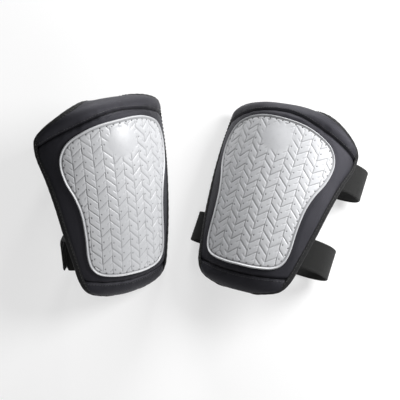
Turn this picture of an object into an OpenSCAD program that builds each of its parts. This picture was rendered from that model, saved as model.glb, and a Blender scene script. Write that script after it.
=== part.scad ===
// Pair of strap-on knee pads. Each pad is a curved fabric-covered foam body with a rolled bolster
// at each end, a hard cap sewn on its front, and two webbing straps that close behind the knee.
// The two pads mirror each other, and lie side by side on a flat surface.

/* [Pad] */
// Radius of the front across the knee
front_r = 113; // [108:1:120]
// Tighter radius of the wings beside the knee
wing_r = 46; // [42:1:56]
// Distance across the front from the middle to where a wing starts
front_half = 86; // [82:1:90]
// Radius of the front along the leg
length_r = 840; // [600:10:1200]
// Radius of the top bolster
top_roll_r = 22.5; // [22:0.5:28]
// Radius of the bottom bolster
bottom_roll_r = 39; // [34:1:48]
// Full thickness behind the middle of the cap
pad_t = 17; // [14:0.5:18]
// Full thickness at the bound edge
edge_t = 9; // [8:0.5:10]
// Thickness of the cover and lining fabrics
fabric_t = 1.2; // [0.8:0.1:1.4]
// How far the edge binding stands out of the outline
binding_w = 2.2; // [1.5:0.1:2.4]
// Slope of the top end, and of the bottom end, down towards the outer side of the leg
end_slope = [0.075, -0.016];

/* [Cap] */
// Thickness of the hard cap
cap_t = 2.6; // [2:0.1:3.5]
// Height of the bead round the cap's rim
rim_h = 1; // [0.4:0.1:1.6]
// Number of stitches that hold the cap
cap_stitches = 64; // [24:4:64]

/* [Straps] */
// Width of the webbing
strap_w = 38; // [30:1:40]
// Thickness of the webbing
strap_t = 2.2; // [1.6:0.1:2.2]
// Thickness of a hook patch or a loop patch
patch_t = 1.2; // [0.8:0.1:1.2]
// Length of the end that peels open
flap_len = 30; // [26:1:30]

/* [Pose] */
// Place of the right pad: across, and up the page
right_at = [71.3, 22.2];
// Tilt of the right pad about its length
right_roll = -22; // [-24:1:-20]
// Turn of the right pad on the surface
right_yaw = -18; // [-30:1:0]
// Place of the left pad
left_at = [-96.3, 8.8];
// Tilt of the left pad about its length
left_roll = 33.5; // [32:0.5:35]
// How far the left pad's top end is tipped up
left_pitch = 22; // [21:1:23]
// Turn of the left pad on the surface
left_yaw = 5.5; // [0:0.5:20]

/* [Hidden] */
PARTS = ["cap", "cap_stitching", "front_cover", "top_cover", "bottom_cover", "foam_core",
    "top_roll", "bottom_roll", "gel_insert", "back_lining", "edge_binding", "seam_stitching",
    "upper_strap", "lower_strap", "upper_strap_end", "lower_strap_end", "upper_tab", "lower_tab",
    "upper_hook", "lower_hook", "upper_loop", "lower_loop", "strap_tacks"];

// Straight part of the length above and below the pad's middle, before a bolster starts
top_flat = 75;
bottom_flat = 115;
// Top and bottom ends of the skin, measured along it
skin_top = 121;
skin_bottom = -148;
// Half width of the skin, at places along it
HALF_WIDTH = [[-148, 24], [-136, 50], [-120, 63], [-94, 70.5], [-58, 79.5], [-22, 87], [14, 96],
    [40, 104], [52, 105.5], [66, 103], [78, 88], [90, 66], [104, 40], [121, 18]];
// Right half of the cap's outline, from the top down, flattened
CAP_HALF = [[0, 72.5], [28, 71], [50, 65], [66, 56], [75, 42], [77, 26], [73, 6], [64.5, -14],
    [59, -34], [56.5, -60], [55.5, -86], [51, -102], [40, -111.5], [20, -115.8], [0, -116.5]];
CAP_EDGE = concat(CAP_HALF, [for (i = [len(CAP_HALF) - 2:-1:1]) [-CAP_HALF[i].x, CAP_HALF[i].y]]);
cap_middle = [0, -20];
cap_gap = 0.5;
// Where the cap's inner rings lie, from its middle to its outline
CAP_RINGS = [0.2, 0.4, 0.58, 0.75, 0.88];
rim_w = 2.6;
stitch_in = 4.2;
stitch = [3.2, 0.9, 0.5];
// The seams arch over the cap: height at the wings and rise at the middle
top_seam = [53.6, 29.2];
bottom_seam = [-116, -9.8];
seam_w = 1;
layer_gap = 0.3;
// Gel insert: middle, half width and half height on the skin, and depth
gel_middle = [0, -6];
gel_half = [34, 42];
gel_t = 6;
gel_low = -pad_t + fabric_t + 3*layer_gap;
// Heights at which the pads' frames stand, so that their lowest edges meet the surface
right_lift = 81.7;
left_lift = 101.4;
right_floor = -right_lift + strap_t/2;
// Distance between the middles of a tab and of the strap end fastened on it
fasten_gap = 0.3;
pile = strap_t + 2*patch_t + fasten_gap;
hinge_gap = 1.4;

// Routes of the straps and tabs, seen from the pad's lower end: across and up, in round numbers.
// A strap runs from its sewn end to its hinge; a tab runs from its sewn end to its free end.
RIGHT_UPPER = [[76, -19], [90, -23.5], [104, -30], [116, -41], [121, -55], [116, -70],
    [103, -78], [88, right_floor], [52, right_floor], [18, right_floor], [9, -77.5],
    [2, right_floor + pile]];
RIGHT_LOWER = [[56, -15], [70, -15], [86, -18.5], [101, -28], [110, -45], [108, -63],
    [96, -76], [80, right_floor], [46, right_floor], [12, right_floor], [3, -77.5],
    [-4, right_floor + pile]];
RIGHT_UPPER_TAB = [[-36, -60], [-41, -67], [-45, -73], [-43.5, -78], [-37, right_floor],
    [-20, right_floor], [-1, right_floor]];
RIGHT_LOWER_TAB = [[-32, -54.5], [-40, -61], [-50, -65], [-59, -67.5], [-64.5, -72.5],
    [-61, -78], [-52, right_floor], [-30, right_floor], [-7, right_floor]];
LEFT_UPPER = [[12, -47], [19, -59.5], [23, -73], [24, -89], [19, -104], [6, -113],
    [-14, -113], [-38, -113], [-60, -111.5], [-82, -104], [-94, -88], [-98.4, -66],
    [-98.4, -42]];
LEFT_LOWER = [[7, -46.5], [14, -53], [19.5, -59], [18.5, -63.8], [11, -65.6], [-10, -65.6],
    [-38, -65.6], [-58, -64], [-74, -57.5], [-83, -45], [-85, -32]];
LEFT_UPPER_TAB = [[-68, -3.5], [-80, -3.5], [-88, -5], [-92.6, -10], [-93.5, -16], [-93.5, -22],
    [-93.5, -39]];
LEFT_LOWER_TAB = [[-54, -7.5], [-66, -5], [-73, -4.3], [-78.4, -6.2], [-79.8, -9], [-80, -18],
    [-80, -29]];

// Each strap: [middle along the leg, route, tab route, hinge, direction of the closed end,
// side of the end that the tab lies on]
RIGHT_STRAPS = [[32, RIGHT_UPPER, RIGHT_UPPER_TAB, 180, 1], [-76, RIGHT_LOWER, RIGHT_LOWER_TAB, 180, 1]];
LEFT_STRAPS = [[32, LEFT_UPPER, LEFT_UPPER_TAB, 90, -1], [-86, LEFT_LOWER, LEFT_LOWER_TAB, 90, -1]];

deg = 180/PI;

// ---- curves ----

// Slope of the curve through the [x, y] points of t at point i, and its value at x
function slope(t, i) =
    let (a = max(i - 1, 0), b = min(i + 1, len(t) - 1)) (t[b].y - t[a].y)/(t[b].x - t[a].x);
function span(t, x, i = 0) = i >= len(t) - 2 || x <= t[i + 1].x ? i : span(t, x, i + 1);
function along(t, x) =
    let (i = span(t, x), h = t[i + 1].x - t[i].x, s = (x - t[i].x)/h)
    t[i].y*(1 + 2*s)*(1 - s)^2 + h*slope(t, i)*s*(1 - s)^2
    + t[i + 1].y*s^2*(3 - 2*s) + h*slope(t, i + 1)*s^2*(s - 1);

// Point between q and r of the smooth curve through p, q, r and s
function between_points(p, q, r, s, t) =
    (2*q + (r - p)*t + (2*p - 5*q + 4*r - s)*t^2 + (3*q - p - 3*r + s)*t^3)/2;
function closed_curve(c, steps) =
    let (n = len(c))
    [for (i = [0:n - 1], k = [0:steps - 1])
        between_points(c[(i + n - 1)%n], c[i], c[(i + 1)%n], c[(i + 2)%n], k/steps)];
function open_curve(c, steps) =
    let (n = len(c), e = concat([2*c[0] - c[1]], c, [2*c[n - 1] - c[n - 2]]))
    concat([for (i = [1:n - 1], k = [0:steps - 1])
        between_points(e[i - 1], e[i], e[i + 1], e[i + 2], k/steps)], [c[n - 1]]);

// ---- the pad's skin: u across, v along the leg, n out of the front ----

function bend_angle(s, flat, r1, r2) =
    (min(abs(s), flat)/r1 + max(abs(s) - flat, 0)/r2)*deg*sign(s);
function bend_run(s, flat, r1, r2) =
    let (a = min(abs(s), flat)/r1*deg, b = a + max(abs(s) - flat, 0)/r2*deg)
    sign(s)*(r1*sin(a) + r2*(sin(b) - sin(a)));
function bend_drop(s, flat, r1, r2) =
    let (a = min(abs(s), flat)/r1*deg, b = a + max(abs(s) - flat, 0)/r2*deg)
    r1*(1 - cos(a)) + r2*(cos(a) - cos(b));
function v_flat(v) = v > 0 ? top_flat : bottom_flat;
function v_roll(v) = v > 0 ? top_roll_r : bottom_roll_r;
function ease(x) = let (s = min(max(x, 0), 1)) s^2*(3 - 2*s);
// $outer is 1 where the leg's outer side is at +u, as on the right pad, and -1 where it is at -u
function sloped(u, v) =
    v - $outer*u*(end_slope[0]*ease(0.1 + v/90) + end_slope[1]*ease(0.1 - v/110));
function skin(u, v, n) =
    let (w = sloped(u, v), a = bend_angle(u, front_half, front_r, wing_r),
        b = bend_angle(w, v_flat(w), length_r, v_roll(w)),
        d = [sin(a)*cos(b), cos(a)*sin(b), cos(a)*cos(b)])
    [bend_run(u, front_half, front_r, wing_r), bend_run(w, v_flat(w), length_r, v_roll(w)),
        -bend_drop(u, front_half, front_r, wing_r) - bend_drop(w, v_flat(w), length_r, v_roll(w))]
    + n*d/norm(d);

// Thickness of the pad at a (from -1 to 1 across) and v
function thick(a, v) =
    edge_t + (pad_t - edge_t)*(1 - a^4)*ease((skin_top - v)/30)*ease((v - skin_bottom)/30);
function seam_at(seam, a) = seam[0] + seam[1]*(1 - a^2);

// ---- solids ----

// Solid between two grids of points, rows along the leg and columns across
module between(outer, inner) {
    rows = len(outer);
    cols = len(outer[0]);
    function at(k, i, j) = k*rows*cols + i*cols + j;
    function quad(a, b, c, d) = [[a, b, c], [a, c, d]];
    polyhedron(points = [for (g = [outer, inner], row = g, p = row) p], faces = concat(
        [for (i = [0:rows - 2], j = [0:cols - 2])
            each quad(at(0, i, j), at(0, i + 1, j), at(0, i + 1, j + 1), at(0, i, j + 1))],
        [for (i = [0:rows - 2], j = [0:cols - 2])
            each quad(at(1, i, j), at(1, i, j + 1), at(1, i + 1, j + 1), at(1, i + 1, j))],
        [for (i = [0:rows - 2])
            each quad(at(0, i, 0), at(1, i, 0), at(1, i + 1, 0), at(0, i + 1, 0))],
        [for (i = [0:rows - 2], j = cols - 1)
            each quad(at(0, i, j), at(0, i + 1, j), at(1, i + 1, j), at(1, i, j))],
        [for (j = [0:cols - 2])
            each quad(at(0, 0, j), at(0, 0, j + 1), at(1, 0, j + 1), at(1, 0, j))],
        [for (j = [0:cols - 2], i = rows - 1)
            each quad(at(0, i, j), at(1, i, j), at(1, i, j + 1), at(0, i, j + 1))]));
}

// Solid round a ring: each section is a closed loop of points, and the last meets the first
module ring(sections) {
    n = len(sections);
    m = len(sections[0]);
    function at(i, k) = (i%n)*m + k%m;
    polyhedron(points = [for (s = sections, p = s) p], faces =
        [for (i = [0:n - 1], k = [0:m - 1])
            each [[at(i, k), at(i + 1, k + 1), at(i, k + 1)],
                [at(i, k), at(i + 1, k), at(i + 1, k + 1)]]]);
}

// Solid between two stacks of rings about a middle point, such as the cap
module dish(outer, inner, outer_mid, inner_mid) {
    k_n = len(outer);
    n = len(outer[0]);
    function at(g, k, i) = 2 + (g*k_n + k)*n + i%n;
    polyhedron(points = concat([outer_mid, inner_mid], [for (g = [outer, inner], r = g, p = r) p]),
        faces = concat(
        [for (i = [0:n - 1]) each [[0, at(0, 0, i), at(0, 0, i + 1)],
            [1, at(1, 0, i + 1), at(1, 0, i)],
            [at(0, k_n - 1, i), at(1, k_n - 1, i), at(1, k_n - 1, i + 1)],
            [at(0, k_n - 1, i), at(1, k_n - 1, i + 1), at(0, k_n - 1, i + 1)]]],
        [for (k = [0:k_n - 2], i = [0:n - 1])
            each [[at(0, k, i), at(0, k + 1, i), at(0, k + 1, i + 1)],
                [at(0, k, i), at(0, k + 1, i + 1), at(0, k, i + 1)],
                [at(1, k, i), at(1, k + 1, i + 1), at(1, k + 1, i)],
                [at(1, k, i), at(1, k, i + 1), at(1, k + 1, i + 1)]]]));
}

// Layer of the pad between two seam lines. out and in give its depths at (a, v)
module layer(rows, cols, low, high, out, in, inset = 0) {
    grid = [for (i = [0:rows]) [for (j = [0:cols])
        let (a = -1 + 2*j/cols, v = low(a) + (high(a) - low(a))*i/rows)
        [a*(along(HALF_WIDTH, v) - inset), v, a]]];
    between([for (r = grid) [for (p = r) skin(p[0], p[1], out(p[2], p[1]))]],
        [for (r = grid) [for (p = r) skin(p[0], p[1], in(p[2], p[1]))]]);
}

// Flat band of webbing along a route, seen along the leg. It stays above the route's lowest point
module band(route, t, w) {
    low = min([for (p = route) p.y]);
    c = [for (p = open_curve(route, 4)) [p.x, max(p.y, low)]];
    n = len(c) - 1;
    side = [for (i = [0:n])
        let (d = c[min(i + 1, n)] - c[max(i - 1, 0)]) [-d.y, d.x]/norm(d)*t/2];
    rotate([90, 0, 0]) linear_extrude(height = w, center = true)
        polygon(concat(c + side, [for (i = [n:-1:0]) c[i] - side[i]]));
}

// Fabric tones
module fabric() { color("#2b2b30") children(); }
module webbing() { color("#34343a") children(); }

// ---- one pad's pieces, in the pad's own frame ----

function ring_at(s, n) = [for (p = closed_curve(CAP_EDGE, 2))
    let (q = cap_middle + (p - cap_middle)*s) skin(q.x, q.y, n)];
// Scale of the cap's outline that brings it in by a distance
function inset_scale(d) = 1 - d/77;

module cap() {
    base = cap_gap;
    top = base + cap_t;
    color("#cfd0d6") dish(
        concat([for (s = CAP_RINGS) ring_at(s, top)], [ring_at(inset_scale(stitch_in), top),
            ring_at(inset_scale(rim_w), top + rim_h), ring_at(inset_scale(rim_w/3), top + rim_h),
            ring_at(1, base + cap_t/2)]),
        concat([for (s = CAP_RINGS) ring_at(s, base)], [ring_at(inset_scale(stitch_in), base),
            ring_at(inset_scale(rim_w), base), ring_at(inset_scale(rim_w/3), base),
            ring_at(1, base)]),
        skin(cap_middle.x, cap_middle.y, top), skin(cap_middle.x, cap_middle.y, base));
}

module cap_stitching() {
    c = closed_curve(CAP_EDGE, 8);
    n = len(c);
    color("#9a9aa0") for (i = [0:cap_stitches - 1]) {
        k = floor(i*n/cap_stitches);
        q = cap_middle + (c[k] - cap_middle)*inset_scale(stitch_in + stitch.y);
        d = c[(k + 1)%n] - c[k];
        translate(skin(q.x, q.y, cap_gap + cap_t + stitch.z))
            rotate([-bend_angle(q.y, v_flat(q.y), length_r, v_roll(q.y)),
                bend_angle(q.x, front_half, front_r, wing_r), 0])
            rotate([0, 0, atan2(d.y, d.x)]) cube(stitch, center = true);
    }
}

module front_cover() {
    fabric() layer(14, 16, function(a) seam_at(bottom_seam, a) + seam_w/2 + layer_gap,
        function(a) seam_at(top_seam, a) - seam_w/2 - layer_gap,
        function(a, v) 0, function(a, v) -fabric_t);
}

module top_cover() {
    fabric() layer(7, 16, function(a) seam_at(top_seam, a) + seam_w/2 + layer_gap,
        function(a) skin_top, function(a, v) 0, function(a, v) -fabric_t);
}

module bottom_cover() {
    fabric() layer(5, 16, function(a) skin_bottom,
        function(a) seam_at(bottom_seam, a) - seam_w/2 - layer_gap,
        function(a, v) 0, function(a, v) -fabric_t);
}

module gel(grow, low, high) {
    outline = function(s, n) [for (k = [0:15])
        let (u = cos(k*22.5), w = sin(k*22.5), r = s/(u^4 + w^4)^0.25)
        skin(gel_middle.x - (gel_half.x + grow)*r*u, gel_middle.y + (gel_half.y + grow)*r*w, n)];
    dish([outline(0.3, high), outline(0.65, high), outline(1, high)],
        [outline(0.3, low), outline(0.65, low), outline(1, low)],
        skin(gel_middle.x, gel_middle.y, high), skin(gel_middle.x, gel_middle.y, low));
}

module foam_core() {
    color("#55555c") difference() {
        layer(14, 16, function(a) seam_at(bottom_seam, a) + 0.3,
            function(a) seam_at(top_seam, a) - 0.3,
            function(a, v) -fabric_t - layer_gap,
            function(a, v) fabric_t + 2*layer_gap - thick(a, v), 1);
        gel(layer_gap, gel_low - 4, gel_low + gel_t + layer_gap);
    }
}

module top_roll() {
    color("#55555c") layer(7, 16, function(a) seam_at(top_seam, a) + 0.6,
        function(a) skin_top - 1, function(a, v) -fabric_t - 2*layer_gap,
        function(a, v) fabric_t + 3*layer_gap - thick(a, v), 1);
}

module bottom_roll() {
    color("#55555c") layer(5, 16, function(a) skin_bottom + 1,
        function(a) seam_at(bottom_seam, a) - 0.3, function(a, v) -fabric_t - 1.5*layer_gap,
        function(a, v) fabric_t + 2*layer_gap - thick(a, v), 1);
}

module gel_insert() {
    color("#6f7f8c") gel(0, gel_low, gel_low + gel_t);
}

module back_lining() {
    fabric() layer(18, 14, function(a) skin_bottom, function(a) skin_top,
        function(a, v) fabric_t - thick(a, v), function(a, v) -thick(a, v));
}

module edge_binding() {
    rows = 22;
    ends = 4;
    side = [for (i = [0:rows]) let (v = skin_bottom + (skin_top - skin_bottom)*i/rows)
        [along(HALF_WIDTH, v), v]];
    top = [for (i = [1:ends - 1]) [side[rows].x*(1 - 2*i/ends), skin_top]];
    bottom = [for (i = [1:ends - 1]) [-side[0].x*(1 - 2*i/ends), skin_bottom]];
    loop = concat(side, top, [for (i = [rows:-1:0]) [-side[i].x, side[i].y]], bottom);
    n = len(loop);
    color("#232327") ring([for (i = [0:n - 1])
        let (d = loop[(i + 1)%n] - loop[(i + n - 1)%n], o = [d.y, -d.x]/norm(d),
            p = loop[i] + o*4*layer_gap, q = loop[i] + o*(binding_w + layer_gap),
            deep = -edge_t - fabric_t/2)
        [skin(p.x, p.y, fabric_t/2), skin(q.x, q.y, 0), skin(q.x, q.y, deep + fabric_t/2),
            skin(p.x, p.y, deep)]]);
}

module seam_stitching() {
    color("#1c1c20") for (seam = [top_seam, bottom_seam])
        layer(1, 16, function(a) seam_at(seam, a) - seam_w/2, function(a) seam_at(seam, a) + seam_w/2,
            function(a, v) -0.1, function(a, v) layer_gap - fabric_t, 0.5);
}

// ---- straps, in the pad's frame before it is rolled ----

// Moves into the frame of a strap's closed end: X from the hinge to the tip, Y along the leg
module closed_end(s) {
    hinge = s[1][len(s[1]) - 1];
    translate([hinge.x, s[0], hinge.y]) rotate([0, -s[3], 0]) children();
}

module strap(s) {
    hinge = s[1][len(s[1]) - 1];
    webbing() {
        translate([0, s[0], 0]) band(s[1], strap_t, strap_w);
        translate([hinge.x, s[0], hinge.y]) rotate([90, 0, 0])
            cylinder(d = strap_t, h = strap_w, center = true, $fn = 24);
    }
}

module tab(s) {
    webbing() translate([0, s[0], 0]) band(s[2], strap_t, strap_w);
}

module strap_end(s) {
    webbing() closed_end(s) hull() {
        translate([hinge_gap, -strap_w/2, -strap_t/2]) cube([10, strap_w, strap_t]);
        for (y = [-1, 1]) translate([flap_len - 8, y*(strap_w/2 - 8), -strap_t/2])
            cylinder(r = 8, h = strap_t, $fn = 32);
    }
}

// Patch on the closed end. up is its distance from the middle of the webbing, towards the tab
module patch(s, up) {
    closed_end(s) translate([4, -strap_w/2 + 2, s[4] > 0 ? up : -up - patch_t])
        cube([flap_len - 13, strap_w - 4, patch_t]);
}

module hook(s) {
    color("#1b1b1e") patch(s, strap_t/2);
}

module loop(s) {
    color("#3d3d44") patch(s, strap_t/2 + patch_t + fasten_gap);
}

// Rows of thread across each strap and tab where it is sewn down
module strap_tacks(straps) {
    color("#17171a") for (s = straps, route = [s[1], s[2]]) {
        d = route[1] - route[0];
        translate([route[0].x, s[0], route[0].y]) rotate([0, -atan2(d.y, d.x), 0])
            for (x = [2, 7]) translate([x, 0, -strap_t/2 - 0.6])
                cube([0.9, strap_w - 8, 0.7], center = true);
    }
}

// ---- places ----

module right_frame() {
    $outer = 1;
    translate([right_at.x, right_at.y, right_lift]) rotate([0, 0, right_yaw]) children();
}

module left_frame() {
    $outer = -1;
    translate([left_at.x, left_at.y, left_lift]) rotate([0, 0, left_yaw])
        rotate([left_pitch, 0, 0]) children();
}

module body_part(part) {
    if (part == "cap") cap();
    if (part == "cap_stitching") cap_stitching();
    if (part == "front_cover") front_cover();
    if (part == "top_cover") top_cover();
    if (part == "bottom_cover") bottom_cover();
    if (part == "foam_core") foam_core();
    if (part == "top_roll") top_roll();
    if (part == "bottom_roll") bottom_roll();
    if (part == "gel_insert") gel_insert();
    if (part == "back_lining") back_lining();
    if (part == "edge_binding") edge_binding();
    if (part == "seam_stitching") seam_stitching();
}

module strap_part(part, straps) {
    if (part == "upper_strap") strap(straps[0]);
    if (part == "lower_strap") strap(straps[1]);
    if (part == "upper_strap_end") strap_end(straps[0]);
    if (part == "lower_strap_end") strap_end(straps[1]);
    if (part == "upper_tab") tab(straps[0]);
    if (part == "lower_tab") tab(straps[1]);
    if (part == "upper_hook") hook(straps[0]);
    if (part == "lower_hook") hook(straps[1]);
    if (part == "upper_loop") loop(straps[0]);
    if (part == "lower_loop") loop(straps[1]);
    if (part == "strap_tacks") strap_tacks(straps);
}

for (part = PARTS) {
    right_frame() {
        rotate([0, right_roll, 0]) body_part(part);
        strap_part(part, RIGHT_STRAPS);
    }
    left_frame() {
        rotate([0, left_roll, 0]) body_part(part);
        strap_part(part, LEFT_STRAPS);
    }
}
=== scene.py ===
"""Looks of a pair of strap-on knee pads: a fabric-covered foam body with a rolled bolster at each
end, a treaded hard cap sewn on its front, and webbing straps with peel-open ends."""
import math

import bpy
import numpy as np
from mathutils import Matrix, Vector


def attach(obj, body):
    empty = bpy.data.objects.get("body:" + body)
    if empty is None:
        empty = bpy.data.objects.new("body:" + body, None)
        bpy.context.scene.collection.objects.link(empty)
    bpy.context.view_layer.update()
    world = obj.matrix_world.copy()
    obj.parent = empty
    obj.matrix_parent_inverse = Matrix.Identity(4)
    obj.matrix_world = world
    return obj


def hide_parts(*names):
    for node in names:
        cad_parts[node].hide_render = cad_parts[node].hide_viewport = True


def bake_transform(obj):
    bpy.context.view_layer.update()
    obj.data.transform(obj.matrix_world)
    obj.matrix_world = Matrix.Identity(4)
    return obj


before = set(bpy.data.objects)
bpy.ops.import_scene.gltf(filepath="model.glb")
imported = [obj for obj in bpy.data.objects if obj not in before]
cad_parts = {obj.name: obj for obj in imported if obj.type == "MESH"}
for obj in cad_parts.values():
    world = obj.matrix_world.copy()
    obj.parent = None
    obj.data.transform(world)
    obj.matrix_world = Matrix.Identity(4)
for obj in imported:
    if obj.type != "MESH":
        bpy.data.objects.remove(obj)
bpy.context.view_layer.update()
MM = 0.001

# ---- the pad's sizes in millimetres, the same as the design's ----

FRONT_R, WING_R, FRONT_HALF = 113, 46, 86
LENGTH_R, TOP_ROLL_R, BOTTOM_ROLL_R = 840, 22.5, 39
TOP_FLAT, BOTTOM_FLAT = 75, 115
SKIN_TOP, SKIN_BOTTOM = 121, -148
PAD_T, EDGE_T = 17, 9
CAP_T, CAP_GAP = 2.6, 0.5
STRAP_W, STRAP_T, PATCH_T = 38, 2.2, 1.2
FASTEN_GAP, FLAP_LEN = 0.3, 30
TOP_SEAM, BOTTOM_SEAM = (53.6, 29.2), (-116, -9.8)
END_SLOPE = (0.075, -0.016)
HALF_WIDTH = np.array([(-148, 24), (-136, 50), (-120, 63), (-94, 70.5), (-58, 79.5), (-22, 87),
    (14, 96), (40, 104), (52, 105.5), (66, 103), (78, 88), (90, 66), (104, 40), (121, 18)], float)
CAP_HALF = np.array([(0, 72.5), (28, 71), (50, 65), (66, 56), (75, 42), (77, 26), (73, 6),
    (64.5, -14), (59, -34), (56.5, -60), (55.5, -86), (51, -102), (40, -111.5), (20, -115.8),
    (0, -116.5)], float)
CAP_EDGE = np.vstack([CAP_HALF, (CAP_HALF[1:-1]*(-1, 1))[::-1]])
CAP_MIDDLE = np.array([0.0, -20.0])
GEL_MIDDLE, GEL_HALF = (0, -6), (34, 42)
RIGHT_LIFT, LEFT_LIFT = 81.7, 101.4
RIGHT_FLOOR = -RIGHT_LIFT + STRAP_T/2
PILE = STRAP_T + 2*PATCH_T + FASTEN_GAP
ROUTES = {
    "right_upper_strap": [(76, -19), (90, -23.5), (104, -30), (116, -41), (121, -55), (116, -70),
        (103, -78), (88, RIGHT_FLOOR), (52, RIGHT_FLOOR), (18, RIGHT_FLOOR), (9, -77.5),
        (2, RIGHT_FLOOR + PILE)],
    "right_lower_strap": [(56, -15), (70, -15), (86, -18.5), (101, -28), (110, -45), (108, -63),
        (96, -76), (80, RIGHT_FLOOR), (46, RIGHT_FLOOR), (12, RIGHT_FLOOR), (3, -77.5),
        (-4, RIGHT_FLOOR + PILE)],
    "right_upper_tab": [(-36, -60), (-41, -67), (-45, -73), (-43.5, -78), (-37, RIGHT_FLOOR),
        (-20, RIGHT_FLOOR), (-1, RIGHT_FLOOR)],
    "right_lower_tab": [(-32, -54.5), (-40, -61), (-50, -65), (-59, -67.5), (-64.5, -72.5),
        (-61, -78), (-52, RIGHT_FLOOR), (-30, RIGHT_FLOOR), (-7, RIGHT_FLOOR)],
    "left_upper_strap": [(12, -47), (19, -59.5), (23, -73), (24, -89), (19, -104), (6, -113),
        (-14, -113), (-38, -113), (-60, -111.5), (-82, -104), (-94, -88), (-98.4, -66),
        (-98.4, -42)],
    "left_lower_strap": [(7, -46.5), (14, -53), (19.5, -59), (18.5, -63.8), (11, -65.6),
        (-10, -65.6), (-38, -65.6), (-58, -64), (-74, -57.5), (-83, -45), (-85, -32)],
    "left_upper_tab": [(-68, -3.5), (-80, -3.5), (-88, -5), (-92.6, -10), (-93.5, -16),
        (-93.5, -22), (-93.5, -39)],
    "left_lower_tab": [(-54, -7.5), (-66, -5), (-73, -4.3), (-78.4, -6.2), (-79.8, -9),
        (-80, -18), (-80, -29)]}
ALONG_LEG = {"right": {"upper": 32, "lower": -76}, "left": {"upper": 32, "lower": -86}}
# Direction of each pad's closed strap ends in degrees, and the side of the end that the tab
# lies on
END_WAY = {"right": (180, 1), "left": (90, -1)}


def turn(axis, degrees):
    c, s = math.cos(math.radians(degrees)), math.sin(math.radians(degrees))
    return np.array({"x": [(1, 0, 0), (0, c, -s), (0, s, c)],
        "y": [(c, 0, s), (0, 1, 0), (-s, 0, c)],
        "z": [(c, -s, 0), (s, c, 0), (0, 0, 1)]}[axis])


# Each pad's place, the frame that its straps lie in, and its roll in that frame
PLACES = {"right": (np.array([71.3, 22.2, RIGHT_LIFT]), turn("z", -18), turn("y", -22)),
    "left": (np.array([-96.3, 8.8, LEFT_LIFT]), turn("z", 5.5) @ turn("x", 22), turn("y", 33.5))}


def place(side, points, rolled=True):
    """Points of a pad, or of its straps where rolled is False, in the shared frame."""
    at, way, roll = PLACES[side]
    return points @ ((way @ roll if rolled else way).T) + at


# ---- curves and the pad's skin ----

def ease(x):
    s = np.clip(x, 0, 1)
    return s*s*(3 - 2*s)


def half_width(v):
    """Half the pad's width at v along it, on the smooth curve that the design draws."""
    x, y = HALF_WIDTH.T
    i = np.clip(np.searchsorted(x, v) - 1, 0, len(x) - 2)
    up, down = np.minimum(i + 2, len(x) - 1), np.maximum(i - 1, 0)
    h = x[i + 1] - x[i]
    s = (v - x[i])/h
    m0 = (y[i + 1] - y[down])/(x[i + 1] - x[down])
    m1 = (y[up] - y[i])/(x[up] - x[i])
    return (y[i]*(1 + 2*s)*(1 - s)**2 + h*m0*s*(1 - s)**2 + y[i + 1]*s*s*(3 - 2*s)
        + h*m1*s*s*(s - 1))


def curve(points, closed, steps):
    """Smooth curve through points, as in the design."""
    c = np.asarray(points, float)
    e = np.vstack([c[-1:], c, c[:2]]) if closed else np.vstack([2*c[0] - c[1], c, 2*c[-1] - c[-2]])
    t = (np.arange(steps)/steps)[:, None]
    out = []
    for p, q, r, s in zip(e, e[1:], e[2:], e[3:]):
        out.append((2*q + (r - p)*t + (2*p - 5*q + 4*r - s)*t**2 + (3*q - p - 3*r + s)*t**3)/2)
    return np.vstack(out if closed else out + [c[-1:]])


def even(points, count, closed=False):
    """The curve's points spread again at equal distances."""
    p = np.vstack([points, points[:1]]) if closed else points
    far = np.r_[0, np.cumsum(np.linalg.norm(np.diff(p, axis=0), axis=1))]
    at = np.linspace(0, far[-1], count, endpoint=not closed)
    return np.stack([np.interp(at, far, p[:, k]) for k in range(p.shape[1])], -1), far[-1]


def bend(s, flat, r1, r2):
    """(run, drop, angle) at s along an arc of radius r1 that tightens to r2 beyond flat."""
    a = np.minimum(abs(s), flat)/r1
    b = a + np.maximum(abs(s) - flat, 0)/r2
    run = r1*np.sin(a) + r2*(np.sin(b) - np.sin(a))
    return np.sign(s)*run, r1*(1 - np.cos(a)) + r2*(np.cos(a) - np.cos(b)), np.sign(s)*b


def skin(u, v, n):
    """Point of the pad's front at u across and v along, and n out of it. outer is 1 where the
    leg's outer side is at +u and -1 where it is at -u: the pad's ends slope down that way."""
    u, v, n = np.broadcast_arrays(*(np.asarray(x, float) for x in (u, v, n)))
    v = v - outer*u*(END_SLOPE[0]*ease(0.1 + v/90) + END_SLOPE[1]*ease(0.1 - v/110))
    x, dx, a = bend(u, FRONT_HALF, FRONT_R, WING_R)
    flat, roll = np.where(v > 0, TOP_FLAT, BOTTOM_FLAT), np.where(v > 0, TOP_ROLL_R, BOTTOM_ROLL_R)
    y, dy, b = bend(v, flat, LENGTH_R, roll)
    d = np.stack([np.sin(a)*np.cos(b), np.cos(a)*np.sin(b), np.cos(a)*np.cos(b)], -1)
    d /= np.linalg.norm(d, axis=-1, keepdims=True)
    return np.stack([x, y, -dx - dy], -1) + n[..., None]*d


def thick(a, v):
    """Thickness of the pad at a share a of its half width, and v along it."""
    return (EDGE_T + (PAD_T - EDGE_T)*(1 - a**4)*ease((SKIN_TOP - v)/30)
        * ease((v - SKIN_BOTTOM)/30))


def seam_at(seam, a):
    """Height of a seam line, which bows towards the pad's middle line."""
    return seam[0] + seam[1]*(1 - a*a)


def ripple(u, v, size, seed):
    """Gentle unevenness of sewn fabric, from -1 to 1, about size across."""
    total = np.zeros(np.broadcast(u, v).shape)
    for k in range(6):
        way = 2.4*k + seed
        wave = 2*math.pi/(size*(1 + 0.23*k))
        total += np.sin(wave*(u*math.cos(way) + v*math.sin(way)) + 1.7*k*seed + k*k)/6
    return total*1.6


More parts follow.
